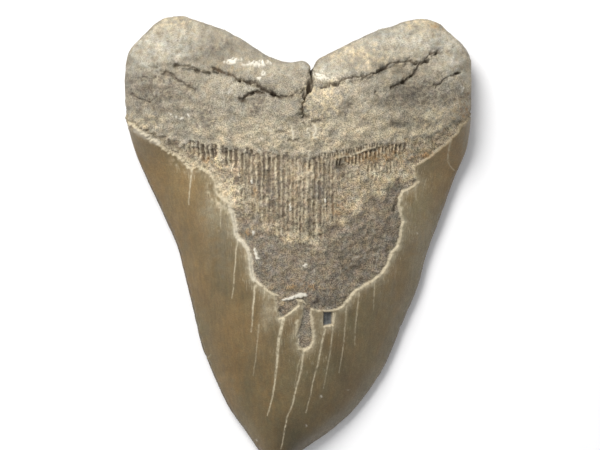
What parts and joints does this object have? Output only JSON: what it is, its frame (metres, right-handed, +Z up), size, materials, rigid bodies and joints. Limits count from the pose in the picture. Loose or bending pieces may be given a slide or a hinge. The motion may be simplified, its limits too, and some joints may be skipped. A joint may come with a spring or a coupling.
{
  "type": "megalodon tooth",
  "caption": "Large fossil shark tooth: triangular, satin grey-brown crown with broken enamel border on a rough two-lobed stone root, lying flat with its bulging face up.",
  "frame": {"origin": "under the middle of the tooth, on the surface that it lies on", "axes": "+Y from the crown's tip to the root, +X to the right as seen from above with the root away from the viewer, +Z up, out of the bulging tongue-side face"},
  "size_m": [0.118, 0.1544, 0.0306],
  "materials": {
    "fossil_tooth": "mineralised tooth: satin olive-brown enamel on the crown, dull grainy grey-tan root and dark bare dentine between them"
  },
  "bodies": {
    "root": {"tooth": "fossil_tooth"}
  },
  "joints": []
}
